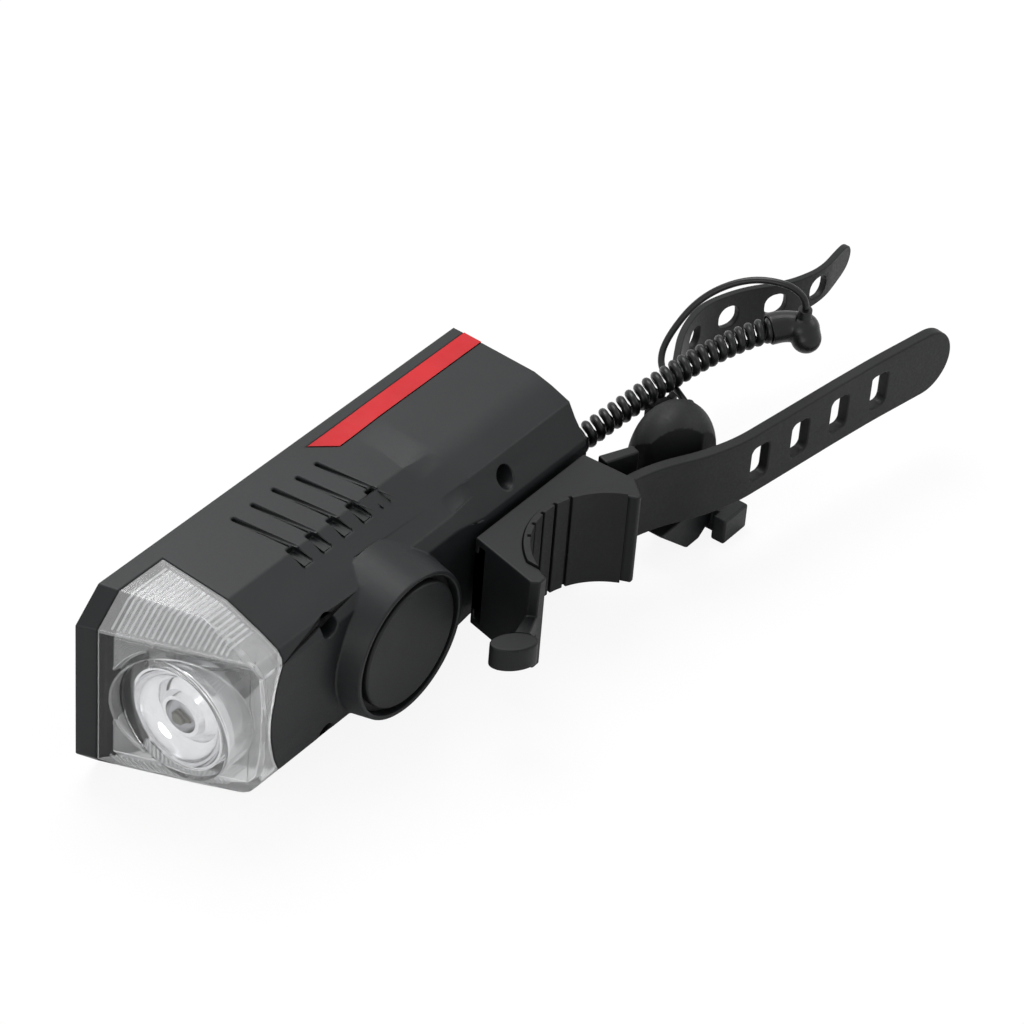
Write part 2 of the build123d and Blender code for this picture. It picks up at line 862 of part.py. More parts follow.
# Main circuit board, held between the screw posts
with BuildPart() as main_board:
    with BuildSketch(side(board_x)):
        with Locations(((board_start + board_end) / 2, 0)):
            Rectangle(board_end - board_start, board_half * 2)
        for post_y, post_z in screw_places:
            with Locations((post_y, post_z), (post_y, -post_z)):
                Circle(screw_radius + fit_gap, mode=Mode.SUBTRACT)
    extrude(amount=board_depth)
main_board.part.label = "main_board"
export_step(main_board.part, "parts/main_board.step")

# Charging socket: metal shell with a tongue, on the board
with BuildPart() as usb_socket:
    with BuildSketch(across(body_length - end_wall / 2)):
        with Locations((socket_x, 0)):
            Rectangle(socket_height, socket_width)
    extrude(amount=socket_depth)
    with BuildSketch(across(body_length - end_wall / 2)):
        with Locations((socket_x, 0)):
            Rectangle(socket_height - socket_wall * 2, socket_width - socket_wall * 2)
            Rectangle(tongue_height, socket_width / 2, mode=Mode.SUBTRACT)
    extrude(amount=tongue_depth, mode=Mode.SUBTRACT)
usb_socket.part.label = "usb_socket"
export_step(usb_socket.part, "parts/usb_socket.step")

# Rubber flap over the charging socket, hinged at its solar side
with BuildPart() as usb_flap:
    flap_y = body_length + flap_gap
    flap_x = socket_x - flap_length / 2
    with BuildSketch(level(-flap_width / 2)):
        with Locations((flap_x, flap_y + flap_knuckle)):
            Circle(flap_knuckle)
        with Locations((flap_x + flap_length / 2, flap_y + flap_thickness / 2)):
            Rectangle(flap_length, flap_thickness)
    extrude(amount=flap_width)
usb_flap.part.label = "usb_flap"
export_step(usb_flap.part, "parts/usb_flap.step")

# Mode button and the switch behind it
with BuildPart() as mode_button:
    with BuildSketch(side(-button_proud)):
        with Locations((button_y, 0)):
            Circle(button_radius)
    extrude(amount=button_proud + shell_wall)
    with BuildSketch(side(shell_wall)):
        with Locations((button_y, 0)):
            Circle(button_radius + button_flange)
    extrude(amount=button_flange)
    fillet(edges().group_by(Axis.X)[0], button_flange / 2)
mode_button.part.label = "mode_button"
export_step(mode_button.part, "parts/mode_button.step")

with BuildPart() as mode_switch:
    with BuildSketch(side(shelf_x - switch_depth)):
        with Locations((button_y, 0)):
            Rectangle(switch_side, switch_side)
    extrude(amount=switch_depth)
mode_switch.part.label = "mode_switch"
export_step(mode_switch.part, "parts/mode_switch.step")

# Horn: cover, soft ring and sounder
with BuildPart() as horn_cover:
    with BuildSketch(side(horn_face - horn_groove - horn_flange)):
        with Locations((horn_y, 0)):
            Circle(horn_bore - fit_gap)
    extrude(amount=horn_flange)
    with BuildSketch(side(horn_face - horn_groove)):
        with Locations((horn_y, 0)):
            Circle(horn_disc_radius)
    extrude(amount=horn_groove)
    fillet(edges().group_by(Axis.X)[-1], horn_groove / 4)
horn_cover.part.label = "horn_cover"
export_step(horn_cover.part, "parts/horn_cover.step")

with BuildPart() as horn_gasket:
    with BuildSketch(side(sounder_seat + sounder_depth)):
        with Locations((horn_y, 0)):
            Circle(horn_disc_radius - fit_gap)
            Circle(horn_disc_radius - horn_gasket_width, mode=Mode.SUBTRACT)
    extrude(amount=horn_gasket_depth)
horn_gasket.part.label = "horn_gasket"
export_step(horn_gasket.part, "parts/horn_gasket.step")

with BuildPart() as horn_sounder:
    with BuildSketch(side(sounder_seat)):
        with Locations((horn_y, 0)):
            Circle(sounder_radius)
    extrude(amount=sounder_depth)
horn_sounder.part.label = "horn_sounder"
export_step(horn_sounder.part, "parts/horn_sounder.step")

# Screws that join the housing to the panel frame
with BuildPart() as housing_screws:
    screw_spots = [(post_y, sign * post_z) for post_y, post_z in screw_places for sign in (1, -1)]
    with BuildSketch(side(screw_seat - screw_length)):
        with Locations(*screw_spots):
            Circle(screw_radius)
    extrude(amount=screw_length)
    with BuildSketch(side(screw_seat)):
        with Locations(*screw_spots):
            Circle(screw_head_radius)
    extrude(amount=screw_head_depth)
    with BuildSketch(side(screw_seat + screw_head_depth)):
        with Locations(*screw_spots):
            Rectangle(screw_head_radius * screw_cross_share, screw_slot)
            Rectangle(screw_slot, screw_head_radius * screw_cross_share)
    extrude(amount=-screw_recess, mode=Mode.SUBTRACT)
housing_screws.part.label = "housing_screws"
export_step(housing_screws.part, "parts/housing_screws.step")

# Clamp bracket: slides on the lugs, holds the pad, the latch and the strap
with BuildPart() as bracket_body:
    with BuildSketch(level(-bracket_half)):
        with BuildLine():
            Polyline(
                bracket_nose,
                bracket_lip,
                bracket_lip_end,
                bracket_tail_lip,
                bracket_tail,
                bracket_heel,
                close=True,
            )
        make_face()
    extrude(amount=bracket_half * 2)
    with BuildSketch(level(-flank_half)):
        with Locations((bar_x, bar_y)):
            Circle(bar_radius + bar_gap)
    extrude(amount=flank_half * 2, mode=Mode.SUBTRACT)
    with BuildSketch(level(-flank_half)):
        with Locations((bar_x, bar_y)):
            Circle(bar_radius + pad_thickness)
            Rectangle(bar_radius * 4, (pad_reach + pad_gap) * 2, mode=Mode.INTERSECT)
    extrude(amount=flank_half * 2, mode=Mode.SUBTRACT)
    # Slot for the stems, room for the heads, and gaps that let the heads out
    slot_end = lug_first + (lug_count - 1) * lug_pitch + lug_length + slot_gap
    slot_length = slot_end - bracket_nose[1] + overrun
    slot_top = stem_top + head_depth + slot_gap
    with BuildSketch(across(slot_end)):
        with Locations(((bracket_inner - overrun + slot_top) / 2, 0)):
            Rectangle(slot_top - bracket_inner + overrun, (stem_half + slot_gap) * 2)
        with Locations(((lip_face + slot_top) / 2, 0)):
            Rectangle(slot_top - lip_face, (head_half + slot_gap) * 2)
    extrude(amount=slot_length, mode=Mode.SUBTRACT)
    gap_length = lug_pitch - lug_length - lip_play * 2
    for lug_index in range(lug_count):
        with BuildSketch(across(lug_first + lug_index * lug_pitch - lip_play)):
            with Locations(((bracket_inner - overrun + slot_top) / 2, 0)):
                Rectangle(slot_top - bracket_inner + overrun, (head_half + slot_gap) * 2)
        extrude(amount=gap_length, mode=Mode.SUBTRACT)
    # Channel of the latch
    channel_end = latch_outer + latch_travel + running_gap
    with BuildSketch(level(-latch_half - running_gap)):
        with Locations(((bracket_inner - overrun + channel_end) / 2, latch_front - running_gap + overrun)):
            Rectangle(channel_end - bracket_inner + overrun, overrun * 2)
    extrude(amount=(latch_half + running_gap) * 2, mode=Mode.SUBTRACT)
    # Pocket of the strap's root
    strap_root_x, strap_root_y = strap_route[0]
    with BuildSketch(level(-strap_width / 2 - strap_root_gap)):
        with Locations((strap_root_x + strap_root_gap, strap_root_y - strap_root_gap + overrun)):
            Rectangle(strap_thickness + strap_root_gap * 4, overrun * 2)
    extrude(amount=strap_width + strap_root_gap * 2, mode=Mode.SUBTRACT)
    # Hook for the strap's holes
    with BuildSketch(level(-neck_half)):
        with BuildLine():
            Polyline(*neck_outline, close=True)
        make_face()
    extrude(amount=neck_half * 2)
    with BuildSketch(level(-hook_half)):
        with Locations((hook_x, hook_y)):
            Ellipse(hook_length / 2, hook_thickness / 2, rotation=hook_turn)
    extrude(amount=hook_half * 2)
bracket_body.part.label = "bracket_body"
export_step(bracket_body.part, "parts/bracket_body.step")

# Rubber pad of the saddle with grooves along the bar
with BuildPart() as saddle_pad:
    with BuildSketch(level(-pad_half)):
        with Locations((bar_x, bar_y)):
            Circle(bar_radius + pad_thickness - pad_gap)
            Circle(bar_radius, mode=Mode.SUBTRACT)
        with Locations((bar_x - bar_radius, bar_y)):
            Rectangle(bar_radius * 2, pad_reach * 2, mode=Mode.INTERSECT)
        for groove_angle in pad_groove_turns:
            groove_spot = bar_radius + pad_groove_depth / 2
            groove_x = bar_x - groove_spot * math.cos(math.radians(groove_angle))
            groove_y = bar_y + groove_spot * math.sin(math.radians(groove_angle))
            with Locations((groove_x, groove_y)):
                Rectangle(
                    pad_groove_depth * 2,
                    pad_groove_width,
                    rotation=-groove_angle,
                    mode=Mode.SUBTRACT,
                )
    extrude(amount=pad_half * 2)
saddle_pad.part.label = "saddle_pad"
export_step(saddle_pad.part, "parts/saddle_pad.step")

# Release latch: tooth in the housing's notch, tab behind the bracket
with BuildPart() as release_latch:
    with BuildSketch(level(-latch_half)):
        with Locations(((latch_inner + latch_outer) / 2, (latch_front + latch_rear) / 2)):
            Rectangle(latch_outer - latch_inner, latch_rear - latch_front)
    extrude(amount=latch_half * 2)
    with BuildSketch(level(-tooth_half)):
        with BuildLine():
            Polyline(*tooth_points(0, latch_inner), close=True)
        make_face()
    extrude(amount=tooth_half * 2)
    with BuildSketch(level(-tab_half)):
        with BuildLine():
            Polyline(*tab_outline, close=True)
        make_face()
    extrude(amount=tab_half * 2)
release_latch.part.label = "release_latch"
export_step(release_latch.part, "parts/release_latch.step")

# Rubber ladder strap that goes round the bar to the hook
ladder_strap = strap_solid(
    strap_route,
    0,
    strap_width,
    strap_thickness,
    (
        strap_hole_first,
        strap_hole_pitch,
        strap_hole_count,
        strap_hole_length,
        strap_hole_width,
        strap_hole_corner,
    ),
)
ladder_strap.label = "ladder_strap"
export_step(ladder_strap, "parts/ladder_strap.step")

# Cord gland, snapped into the rear wall
with BuildPart() as cord_gland:
    gland_end = body_length + gland_length
    with BuildSketch(across(gland_end)):
        with Locations((cord_x, 0)):
            Circle(gland_radius)
    extrude(amount=gland_length)
    with BuildSketch(across(body_length)):
        with Locations((cord_x, 0)):
            Circle(gland_neck)
    extrude(amount=end_wall)
    with BuildSketch(across(body_length - end_wall)):
        with Locations((cord_x, 0)):
            Circle(gland_radius)
    extrude(amount=gland_flange)
cord_gland.part.label = "cord_gland"
export_step(cord_gland.part, "parts/cord_gland.step")

# Curly cord: one tube wound round a bent axis
coil_axis = Spline(
    *[place(*point) for point in coil_route],
    tangents=[(0, 1, 0), coil_end_tangent],
)


def ease(value):
    """Smooth step from 0 to 1."""
    held = min(1.0, max(0.0, value))
    return held * held * (3 - 2 * held)


def eased_run(value):
    """Run that starts from rest and reaches its full rate after the turn share."""
    part = min(1.0, max(0.0, value / turn_share))
    return turn_share * (part**3 - part**4 / 2) + max(0.0, value - turn_share)


def coil_point(share):
    """Point of the wire's centre line at a share of the axis."""
    along = coil_axis % share
    sideways = along.cross(Vector(0, 0, 1)).normalized()
    wound = 1 - 2 * end_share
    run = eased_run(share - end_share) - eased_run(share - end_share - wound + turn_share)
    turned = run / (wound - turn_share)
    turn = 2 * math.pi * coil_turns * turned
    opened = ease((share - end_share) / ramp_share) * ease((1 - end_share - share) / ramp_share)
    outward = sideways * math.cos(turn) + sideways.cross(along) * math.sin(turn)
    return coil_axis @ share + outward * coil_radius * opened


def coil_direction(share):
    """Direction of the wire's centre line."""
    ahead = coil_point(share + tangent_step_share)
    behind = coil_point(share - tangent_step_share)
    return (ahead - behind).normalized()


def biarc(start, start_way, end, end_way):
    """Two tangent arcs from one point and direction to another."""
    chord = end - start
    ways = start_way + end_way
    square = 2 * (1 - start_way.dot(end_way))
    lean = chord.dot(ways)
    # Written so that it also holds for parallel directions, where square is zero
    reach = chord.dot(chord) / (math.sqrt(lean * lean + square * chord.dot(chord)) + lean)
    first, last = start + start_way * reach, end - end_way * reach
    middle = (first + last) * 0.5
    TangentArc(start, middle, tangent=start_way)
    TangentArc(middle, end, tangent=(last - first).normalized())


with BuildPart() as curly_cord:
    station_count = coil_turns * stations_per_turn
    wound_share = 1 - 2 * end_share
    stations = [end_share + wound_share * index / station_count for index in range(station_count + 1)]
    with BuildLine() as coil_line:
        Line(coil_axis @ 0, coil_point(stations[0]))
        for low, high in zip(stations, stations[1:]):
            biarc(coil_point(low), coil_direction(low), coil_point(high), coil_direction(high))
        Line(coil_point(stations[-1]), coil_axis @ 1)
    coil_wire = coil_line.wire()
    with BuildSketch(Plane(origin=coil_wire @ 0, z_dir=coil_wire % 0)):
        Circle(wire_radius)
    sweep(path=coil_wire)
curly_cord.part.label = "curly_cord"
export_step(curly_cord.part, "parts/curly_cord.step")

sample_count = coil_turns * samples_per_turn
samples = [coil_point(index / sample_count) for index in range(sample_count + 1)]
travelled = [0.0]
for before, here in zip(samples, samples[1:]):
    travelled.append(travelled[-1] + (here - before).length)
nearest = min(
    (samples[i] - samples[j]).length
    for i in range(len(samples))
    for j in range(i + 1, min(i + samples_per_turn * 2, len(samples)))
    if travelled[j] - travelled[i] > math.pi * coil_radius
)
tightest = min(
    (b - a).length * (c - b).length * (c - a).length / (2 * (b - a).cross(c - a).length)
    for a, b, c in zip(samples, samples[1:], samples[2:])
    if (b - a).get_angle(c - b) > 1
)
wire_volume = math.pi * wire_radius**2 * coil_wire.length
print("curly cord: least gap to itself", round(nearest - wire_radius * 2, 2))
print("curly cord: wire length", round(coil_wire.length, 1), "tightest radius", round(tightest, 2))
print("curly cord: volume", round(curly_cord.part.volume, 1), "of", round(wire_volume, 1))

# Moulded end of the curly cord: sleeve round the last turns, and the stub of the lead
boot_middle = place(*boot_centre)
lead_start = place(*lead_route[0])
with BuildPart() as cord_boot:
    for share in boot_shares:
        with BuildSketch(Plane(origin=coil_axis @ share, z_dir=coil_axis % share)):
            Circle(boot_collar)
    loft()
    with Locations(boot_middle):
        Sphere(boot_radius)
    # Rounded end that hangs down from the cord
    boot_tip = place(*boot_end)
    tip_way = (boot_tip - boot_middle).normalized()
    with BuildSketch(Plane(origin=boot_middle, z_dir=tip_way)):
        Circle(boot_radius)
    with BuildSketch(Plane(origin=boot_tip, z_dir=tip_way)):
        Circle(boot_end_radius)
    loft()
    with Locations(boot_tip):
        Sphere(boot_end_radius)
    stub_way = (lead_start - boot_middle).normalized()
    with BuildSketch(Plane(origin=boot_middle, z_dir=stub_way)):
        Circle(boot_stub)
    extrude(amount=(lead_start - boot_middle).length)
    # Bore round the last turns
    for share in boot_shares:
        with BuildSketch(Plane(origin=coil_axis @ share, z_dir=coil_axis % share)):
            Circle(boot_bore)
    loft(mode=Mode.SUBTRACT)
cord_boot.part.label = "cord_boot"
export_step(cord_boot.part, "parts/cord_boot.step")

# Lead from the curly cord to the remote button
with BuildPart() as lead_wire:
    lead_spots, lead_radii = tube_path(lead_route)
    with BuildLine() as lead_line:
        FilletPolyline(*lead_spots, radius=lead_radii)
    lead_path = lead_line.wire()
    with BuildSketch(Plane(origin=lead_path @ 0, z_dir=lead_path % 0)):
        Circle(lead_radius)
    sweep(path=lead_path)
lead_wire.part.label = "lead_wire"
export_step(lead_wire.part, "parts/lead_wire.step")
print("lead radii", [round(radius, 1) for radius in lead_radii], "length", round(lead_path.length, 1))
lead_volume = math.pi * lead_radius**2 * lead_path.length
print("lead volume", round(lead_wire.part.volume, 1), "of", round(lead_volume, 1))

# Remote button: domed housing with the lead's sleeve and a lug for its strap
remote_left, remote_front = remote_outline[0]
remote_right, remote_back = remote_outline[3]
remote_middle = ((remote_left + remote_right) / 2, (remote_front + remote_back) / 2)
remote_dome = Location(place(*remote_middle, dome_foot)) * scale(Sphere(1), by=dome_sizes)
with BuildPart() as remote_form:
    with BuildSketch(level(remote_low)):
        with Locations(remote_middle):
            Rectangle((remote_right - remote_left) * 2, (remote_back - remote_front) * 2)
    extrude(amount=dome_foot - remote_low)
    add(remote_dome)
with BuildPart() as remote_housing:
    with BuildSketch(level(remote_low)):
        with BuildLine():
            Polyline(*remote_outline, close=True)
        make_face()
    extrude(amount=dome_foot + dome_sizes[2] - remote_low)
    fillet(edges().filter_by(Axis.Z), remote_corner)
    add(remote_form.part, mode=Mode.INTERSECT)
    with BuildSketch(level(lug_low)):
        with BuildLine():
            Polyline(*lug_outline, close=True)
        make_face()
    extrude(amount=lug_high - lug_low)
    lead_end = place(*lead_route[-1])
    lead_way = (lead_end - place(*lead_route[-2])).normalized()
    with BuildSketch(Plane(origin=lead_end, z_dir=lead_way)):
        Circle(sleeve_radius)
    extrude(amount=sleeve_length)
    with BuildSketch(level(remote_low + remote_wall)):
        with BuildLine():
            Polyline(*remote_outline, close=True)
        make_face()
        offset(amount=-remote_wall, kind=Kind.INTERSECTION)
    extrude(amount=remote_high - remote_low - remote_wall * 2, mode=Mode.SUBTRACT)
    with BuildSketch(across(remote_back + overrun)):
        with Locations((key_x, key_z)):
            Circle(key_radius + fit_gap)
    extrude(amount=remote_wall + overrun + fit_gap, mode=Mode.SUBTRACT)
remote_housing.part.label = "remote_housing"
export_step(remote_housing.part, "parts/remote_housing.step")

# Foot with the hook for the remote strap
with BuildPart() as remote_foot:
    with BuildSketch(side(foot_inner)):
        with BuildLine():
            Polyline(*foot_profile, close=True)
        make_face()
    extrude(amount=foot_outer - foot_inner)
    with BuildSketch(level(hook_low)):
        with BuildLine():
            Polyline(*hook_outline, close=True)
        make_face()
    extrude(amount=hook_high - hook_low)
remote_foot.part.label = "remote_foot"
export_step(remote_foot.part, "parts/remote_foot.step")

# Horn key, domed, with its flange inside the wall
with BuildPart() as remote_key:
    with BuildSketch(across(remote_back + key_proud)):
        with Locations((key_x, key_z)):
            Circle(key_radius)
    extrude(amount=key_proud + remote_wall)
    with BuildSketch(across(remote_back - remote_wall)):
        with Locations((key_x, key_z)):
            Circle(key_flange_radius)
    extrude(amount=key_flange)
    fillet(edges().group_by(Axis.Y)[-1], key_crown)
remote_key.part.label = "remote_key"
export_step(remote_key.part, "parts/remote_key.step")

# Switch and its board behind the horn key
with BuildPart() as remote_switch:
    switch_y = remote_back - remote_wall - key_flange - key_travel - fit_gap * 2
    inner_x = (remote_outline[0][0] + remote_outline[2][0]) / 2
    inner_z = (remote_low + remote_high) / 2
    with BuildSketch(across(switch_y)):
        with Locations((key_x, key_z)):
            Rectangle(remote_switch_side, remote_switch_side)
    extrude(amount=remote_switch_depth)
    with BuildSketch(across(switch_y - remote_switch_depth)):
        with Locations((inner_x, inner_z)):
            Rectangle(
                remote_outline[2][0] - remote_outline[0][0] - (remote_wall + fit_gap) * 2,
                remote_high - remote_low - (remote_wall + fit_gap) * 2,
            )
    extrude(amount=remote_board_depth)
remote_switch.part.label = "remote_switch"
export_step(remote_switch.part, "parts/remote_switch.step")

# Rubber strap of the remote button, tapered to a rounded tip
with BuildPart() as remote_strap:
    add(
        strap_solid(
            remote_strap_route,
            remote_strap_z,
            remote_strap_width,
            remote_strap_thickness,
            (
                remote_hole_first,
                remote_hole_pitch,
                remote_hole_count,
                remote_hole_length,
                remote_hole_width,
                remote_hole_corner,
            ),
        )
    )
    with BuildSketch(side(0)):
        with BuildLine():
            edge_above = [(y, remote_strap_z + half) for y, half in remote_strap_edge]
            edge_below = [(y, remote_strap_z - half) for y, half in reversed(remote_strap_edge)]
            Spline(*edge_above, (remote_strap_tip, remote_strap_z), *edge_below)
            Line(edge_below[-1], edge_above[0])
        make_face()
    extrude(amount=bar_x, mode=Mode.INTERSECT)
remote_strap.part.label = "remote_strap"
export_step(remote_strap.part, "parts/remote_strap.step")
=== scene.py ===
import bpy
import bmesh
import json
import math
from mathutils import Euler, Matrix, Vector

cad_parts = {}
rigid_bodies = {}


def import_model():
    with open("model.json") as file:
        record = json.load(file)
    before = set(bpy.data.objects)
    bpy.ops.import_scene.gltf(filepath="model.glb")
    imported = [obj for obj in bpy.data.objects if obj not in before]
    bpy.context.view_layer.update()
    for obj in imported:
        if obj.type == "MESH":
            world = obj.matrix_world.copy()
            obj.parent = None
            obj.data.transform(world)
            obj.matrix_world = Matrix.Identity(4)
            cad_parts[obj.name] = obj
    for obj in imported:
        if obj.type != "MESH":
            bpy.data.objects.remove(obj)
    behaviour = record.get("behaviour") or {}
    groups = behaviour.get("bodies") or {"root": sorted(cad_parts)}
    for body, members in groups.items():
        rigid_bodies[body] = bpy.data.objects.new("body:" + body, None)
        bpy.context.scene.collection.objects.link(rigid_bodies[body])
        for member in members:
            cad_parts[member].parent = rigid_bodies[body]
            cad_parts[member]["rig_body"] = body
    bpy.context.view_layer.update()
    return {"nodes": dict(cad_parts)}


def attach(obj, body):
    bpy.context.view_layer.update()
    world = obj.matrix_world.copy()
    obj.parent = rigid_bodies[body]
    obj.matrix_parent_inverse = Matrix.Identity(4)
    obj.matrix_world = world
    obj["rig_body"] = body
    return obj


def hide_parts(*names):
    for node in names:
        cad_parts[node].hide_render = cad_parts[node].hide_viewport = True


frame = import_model()
nodes = frame["nodes"]
mm = 0.001
print("frame loaded", len(nodes), "nodes")

# Places are in mm from the housing's solar edge (x), its front (y) and its mid plane (z)
datum = Vector((-31.32, -105.7, 21.4))


def spot(x, y, z):
    return (Vector((x, y, z)) + datum) * mm


# Finishes: each has a colour that varies a little and a roughness with a fine grain

noisePlan = {
    "roughness": 0.55,
    "colourRange": (0.35, 0.65),  # part of the noise that the colour follows
    "grainRange": (0.3, 0.7),  # part of the noise that the roughness follows
}


def newMaterial(name):
    material = bpy.data.materials.new(name)
    material.use_nodes = True
    shader = material.node_tree.nodes["Principled BSDF"]
    return material, material.node_tree, shader


def noise(tree, scale, detail):
    place = tree.nodes.new("ShaderNodeTexCoord")
    texture = tree.nodes.new("ShaderNodeTexNoise")
    texture.inputs["Scale"].default_value = scale
    texture.inputs["Detail"].default_value = detail
    texture.inputs["Roughness"].default_value = noisePlan["roughness"]
    tree.links.new(place.outputs["Object"], texture.inputs["Vector"])
    return texture.outputs["Fac"]


def tintFrom(tree, shader, source, dark, light):
    ramp = tree.nodes.new("ShaderNodeValToRGB")
    stops = zip(ramp.color_ramp.elements, noisePlan["colourRange"], (dark, light))
    for stop, position, colour in stops:
        stop.position = position
        stop.color = (*colour, 1)
    tree.links.new(source, ramp.inputs["Fac"])
    tree.links.new(ramp.outputs["Color"], shader.inputs["Base Color"])


def roughnessFrom(tree, shader, source, smooth, rough):
    start, end = noisePlan["grainRange"]
    mapping = tree.nodes.new("ShaderNodeMapRange")
    mapping.inputs["From Min"].default_value = start
    mapping.inputs["From Max"].default_value = end
    mapping.inputs["To Min"].default_value = smooth
    mapping.inputs["To Max"].default_value = rough
    tree.links.new(source, mapping.inputs["Value"])
    tree.links.new(mapping.outputs["Result"], shader.inputs["Roughness"])


def bumpFrom(tree, shader, source, strength, distance):
    bump = tree.nodes.new("ShaderNodeBump")
    bump.inputs["Strength"].default_value = strength
    bump.inputs["Distance"].default_value = distance
    tree.links.new(source, bump.inputs["Height"])
    tree.links.new(bump.outputs["Normal"], shader.inputs["Normal"])


def darker(colour, share):
    return tuple(value * share for value in colour)


plasticGrain = {
    "broadScale": 55, "broadDetail": 4, "fineDetail": 2,
    "smoother": 0.05, "rougher": 0.06, "height": 0.02,
}


def mouldedPlastic(name, plan):
    material, tree, shader = newMaterial(name)
    broad = noise(tree, plasticGrain["broadScale"], plasticGrain["broadDetail"])
    fine = noise(tree, plan["grain"], plasticGrain["fineDetail"])
    smooth = plan["roughness"] - plasticGrain["smoother"]
    rough = plan["roughness"] + plasticGrain["rougher"]
    tintFrom(tree, shader, broad, plan["dark"], plan["light"])
    roughnessFrom(tree, shader, fine, smooth, rough)
    bumpFrom(tree, shader, fine, plan["depth"], plasticGrain["height"] * mm)
    shader.inputs["Specular IOR Level"].default_value = plan["specular"]
    return material


metalGrain = {
    "broadScale": 90, "fineScale": 900, "detail": 2,
    "darkShare": 0.9, "smoothShare": 0.8, "roughShare": 1.3,
}


def metal(name, plan):
    material, tree, shader = newMaterial(name)
    broad = noise(tree, metalGrain["broadScale"], metalGrain["detail"])
    fine = noise(tree, metalGrain["fineScale"], metalGrain["detail"])
    smooth = plan["roughness"] * metalGrain["smoothShare"]
    rough = plan["roughness"] * metalGrain["roughShare"]
    tintFrom(tree, shader, broad, darker(plan["colour"], metalGrain["darkShare"]), plan["colour"])
    roughnessFrom(tree, shader, fine, smooth, rough)
    shader.inputs["Metallic"].default_value = 1.0
    return material


clearHaze = {
    "scale": 400, "detail": 3, "ior": 1.46,
    "darkShare": 0.94, "smoothShare": 0.7, "roughShare": 1.3,
}


def clearPlastic(name, plan):
    material, tree, shader = newMaterial(name)
    haze = noise(tree, clearHaze["scale"], clearHaze["detail"])
    smooth = plan["roughness"] * clearHaze["smoothShare"]
    rough = plan["roughness"] * clearHaze["roughShare"]
    tintFrom(tree, shader, haze, darker(plan["colour"], clearHaze["darkShare"]), plan["colour"])
    roughnessFrom(tree, shader, haze, smooth, rough)
    shader.inputs["Transmission Weight"].default_value = plan["transmission"]
    shader.inputs["IOR"].default_value = clearHaze["ior"]
    shader.inputs["Alpha"].default_value = plan["alpha"]
    return material


plasticPlans = {
    "blackPlastic": {
        "dark": (0.0062, 0.0071, 0.0078), "light": (0.0088, 0.0099, 0.0108),
        "roughness": 0.46, "specular": 0.26, "grain": 3200, "depth": 0.25,
    },
    "bracketPlastic": {
        "dark": (0.0045, 0.005, 0.0054), "light": (0.0065, 0.0072, 0.0078),
        "roughness": 0.44, "specular": 0.2, "grain": 3200, "depth": 0.25,
    },
    "hornPlastic": {
        "dark": (0.0062, 0.0068, 0.0072), "light": (0.0085, 0.0094, 0.01),
        "roughness": 0.5, "specular": 0.24, "grain": 4200, "depth": 0.35,
    },
    "blackRubber": {
        "dark": (0.0048, 0.0051, 0.0054), "light": (0.008, 0.0084, 0.0087),
        "roughness": 0.55, "specular": 0.22, "grain": 1800, "depth": 0.3,
    },
    "cordRubber": {
        "dark": (0.004, 0.0043, 0.0046), "light": (0.006, 0.0064, 0.0067),
        "roughness": 0.36, "specular": 0.3, "grain": 1200, "depth": 0.12,
    },
    "redInlay": {
        "dark": (0.42, 0.008, 0.012), "light": (0.5, 0.012, 0.017),
        "roughness": 0.5, "specular": 0.2, "grain": 500, "depth": 0.03,
    },
    "silverPlastic": {
        "dark": (0.24, 0.27, 0.29), "light": (0.3, 0.33, 0.35),
        "roughness": 0.38, "specular": 0.5, "grain": 1500, "depth": 0.1,
    },
    "cellBlue": {
        "dark": (0.008, 0.014, 0.04), "light": (0.01, 0.017, 0.048),
        "roughness": 0.25, "specular": 0.5, "grain": 700, "depth": 0.0,
    },
    "boardGreen": {
        "dark": (0.015, 0.16, 0.06), "light": (0.02, 0.2, 0.08),
        "roughness": 0.4, "specular": 0.5, "grain": 900, "depth": 0.1,
    },
    "batteryWrap": {
        "dark": (0.13, 0.34, 0.42), "light": (0.17, 0.4, 0.5),
        "roughness": 0.35, "specular": 0.5, "grain": 300, "depth": 0.1,
    },
    "switchPlastic": {
        "dark": (0.03, 0.03, 0.03), "light": (0.04, 0.04, 0.04),
        "roughness": 0.45, "specular": 0.5, "grain": 3200, "depth": 0.25,
    },
    "emitterPale": {
        "dark": (0.2, 0.19, 0.14), "light": (0.26, 0.25, 0.19),
        "roughness": 0.2, "specular": 0.5, "grain": 900, "depth": 0.05,
    },
}
metalPlans = {
    "brightPlating": {"colour": (0.8, 0.8, 0.81), "roughness": 0.07},
    "boardMetal": {"colour": (0.78, 0.79, 0.8), "roughness": 0.35},
    "screwSteel": {"colour": (0.2, 0.2, 0.21), "roughness": 0.35},
    "socketSteel": {"colour": (0.62, 0.62, 0.63), "roughness": 0.28},
    "sounderBrass": {"colour": (0.7, 0.55, 0.25), "roughness": 0.3},
    "busSilver": {"colour": (0.55, 0.57, 0.6), "roughness": 0.3},
}
clearPlans = {
    "lensClear": {
        "colour": (0.97, 0.975, 0.98), "roughness": 0.04, "transmission": 1.0, "alpha": 1.0,
    },
    "lensFrosted": {
        "colour": (0.97, 0.978, 0.982), "roughness": 0.14, "transmission": 0.78, "alpha": 1.0,
    },
    "ribFrosted": {
        "colour": (0.84, 0.85, 0.86), "roughness": 0.2, "transmission": 0.45, "alpha": 1.0,
    },
    "panelClear": {
        "colour": (0.05, 0.06, 0.08), "roughness": 0.05, "transmission": 0.0, "alpha": 0.22,
    },
}

